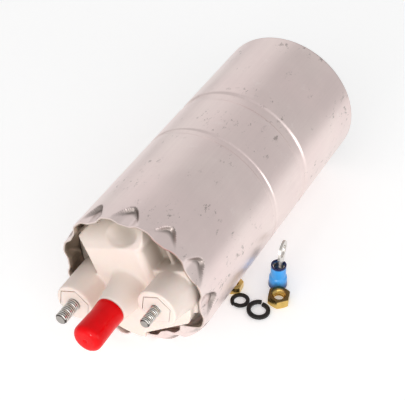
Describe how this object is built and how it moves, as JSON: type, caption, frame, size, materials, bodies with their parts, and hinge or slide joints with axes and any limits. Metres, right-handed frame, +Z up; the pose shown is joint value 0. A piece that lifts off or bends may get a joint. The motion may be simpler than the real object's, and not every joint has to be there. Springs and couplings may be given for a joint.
{
  "type": "inline electric fuel pump",
  "caption": "Inline electric fuel pump in a crimped steel can with a gerotor stage, terminal studs, check and relief valves, capped outlet and loose terminal hardware",
  "frame": {"origin": "on the pump's axis, at the middle of the casing's clamping stretch behind the far groove", "axes": "+Y along the pump's axis towards the inlet end, +Z up as it lies on the floor, +X to the right seen from the terminal end"},
  "size_m": [0.0725, 0.1832, 0.06],
  "materials": {
    "casing_steel": "satin plated deep-drawn sheet, faintly pink grey",
    "natural_nylon": "cream moulded nylon, softly matt",
    "seal_rubber": "fuel-proof black rubber",
    "plated_steel": "bright plated steel",
    "copper_winding": "enamelled copper wire",
    "turned_steel": "fine turned steel",
    "valve_plastic": "dark valve-grade plastic",
    "spring_steel": "spring wire and strip",
    "red_cap": "soft glossy red vinyl",
    "bush_bronze": "sintered bronze",
    "black_phenolic": "dark phenolic moulding",
    "brush_carbon": "pressed carbon graphite",
    "copper_bar": "drawn copper segments",
    "core_steel": "stacked electrical steel",
    "ferrite": "ground ceramic ferrite",
    "cast_aluminium": "machined aluminium casting",
    "sintered_steel": "sintered and lapped steel",
    "nut_brass": "turned brass",
    "black_spring_steel": "blacked spring steel",
    "blue_vinyl": "blue insulating vinyl",
    "tinned_copper": "tin-plated copper sheet"
  },
  "bodies": {
    "pump": {"casing": "casing_steel", "terminal_head": "natural_nylon", "head_seal": "seal_rubber", "stud_m5": "plated_steel", "stud_m4": "plated_steel", "choke_left": "copper_winding", "choke_right": "copper_winding", "outlet_spigot": "turned_steel", "check_valve_spring": "spring_steel", "front_bush": "bush_bronze", "brush_holder": "black_phenolic", "brush_spring_left": "spring_steel", "brush_spring_right": "spring_steel", "magnet_upper": "ferrite", "magnet_lower": "ferrite", "magnet_clips": "spring_steel", "flux_tube": "core_steel", "pump_plate": "cast_aluminium", "rear_bush": "bush_bronze", "pump_ring": "cast_aluminium", "pump_screws": "plated_steel", "inlet_cover": "cast_aluminium", "inlet_seal": "seal_rubber", "inlet_strainer": "turned_steel", "relief_spring": "spring_steel", "relief_plug": "turned_steel"},
    "rotor": {"rotor_shaft": "turned_steel", "commutator": "copper_bar", "armature_core": "core_steel", "armature_winding": "copper_winding", "thrust_washer_front": "valve_plastic", "thrust_washer_rear": "valve_plastic", "gerotor_inner": "sintered_steel"},
    "outer_rotor": {"gerotor_outer": "sintered_steel"},
    "brush_l": {"brush_left": "brush_carbon"},
    "brush_r": {"brush_right": "brush_carbon"},
    "check_valve": {"check_valve_poppet": "valve_plastic"},
    "relief_valve": {"relief_ball": "turned_steel"},
    "cap": {"outlet_cap": "red_cap"},
    "loose_nut_m5": {"nut_m5": "nut_brass"},
    "loose_nut_m4": {"nut_m4": "nut_brass"},
    "loose_washer_m5": {"lock_washer_m5": "black_spring_steel"},
    "loose_washer_m4": {"lock_washer_m4": "black_spring_steel"},
    "loose_terminal": {"terminal_sleeve": "blue_vinyl", "terminal_ring": "tinned_copper"}
  },
  "joints": [
    {"name": "rotor_spin", "type": "hinge", "parent": "pump", "child": "rotor", "pos_m": [0, 0, 0], "axis": [0, 1, 0], "continuous": true},
    {"name": "outer_rotor_spin", "type": "hinge", "parent": "pump", "child": "outer_rotor", "pos_m": [0.0015, 0, 0], "axis": [0, 1, 0], "continuous": true},
    {"name": "brush_left_slide", "type": "slide", "parent": "pump", "child": "brush_l", "axis": [-0.9157, 0, -0.4019], "range_m": [0, 0.0022], "stiffness_N_per_m": 400, "deforming": ["brush_spring_left"]},
    {"name": "brush_right_slide", "type": "slide", "parent": "pump", "child": "brush_r", "axis": [0.9157, 0, 0.4019], "range_m": [0, 0.0022], "stiffness_N_per_m": 400, "deforming": ["brush_spring_right"]},
    {"name": "check_valve_lift", "type": "slide", "parent": "pump", "child": "check_valve", "axis": [0, -1, 0], "range_m": [0, 0.002], "stiffness_N_per_m": 300, "deforming": ["check_valve_spring"]},
    {"name": "relief_lift", "type": "slide", "parent": "pump", "child": "relief_valve", "axis": [0, 1, 0], "range_m": [0, 0.0014], "stiffness_N_per_m": 2000, "deforming": ["relief_spring"]},
    {"name": "cap_pull", "type": "slide", "parent": "pump", "child": "cap", "axis": [0, -1, 0], "range_m": [0, 0.02]},
    {"name": "nut_m5_lift", "type": "slide", "parent": "pump", "child": "loose_nut_m5", "axis": [0, 0, 1], "range_m": [0, 0.05]},
    {"name": "nut_m4_draw", "type": "slide", "parent": "pump", "child": "loose_nut_m4", "axis": [0, 1, 0], "range_m": [0, 0.03]},
    {"name": "washer_m5_lift", "type": "slide", "parent": "pump", "child": "loose_washer_m5", "axis": [0, 0, 1], "range_m": [0, 0.02]},
    {"name": "washer_m4_draw", "type": "slide", "parent": "pump", "child": "loose_washer_m4", "axis": [0, -1, 0], "range_m": [0, 0.03]},
    {"name": "terminal_lift", "type": "slide", "parent": "pump", "child": "loose_terminal", "axis": [0, 0, 1], "range_m": [0, 0.05]}
  ],
  "couplings": [
    {"joint": "outer_rotor_spin", "follows": "rotor_spin", "ratio": 0.85714}
  ]
}
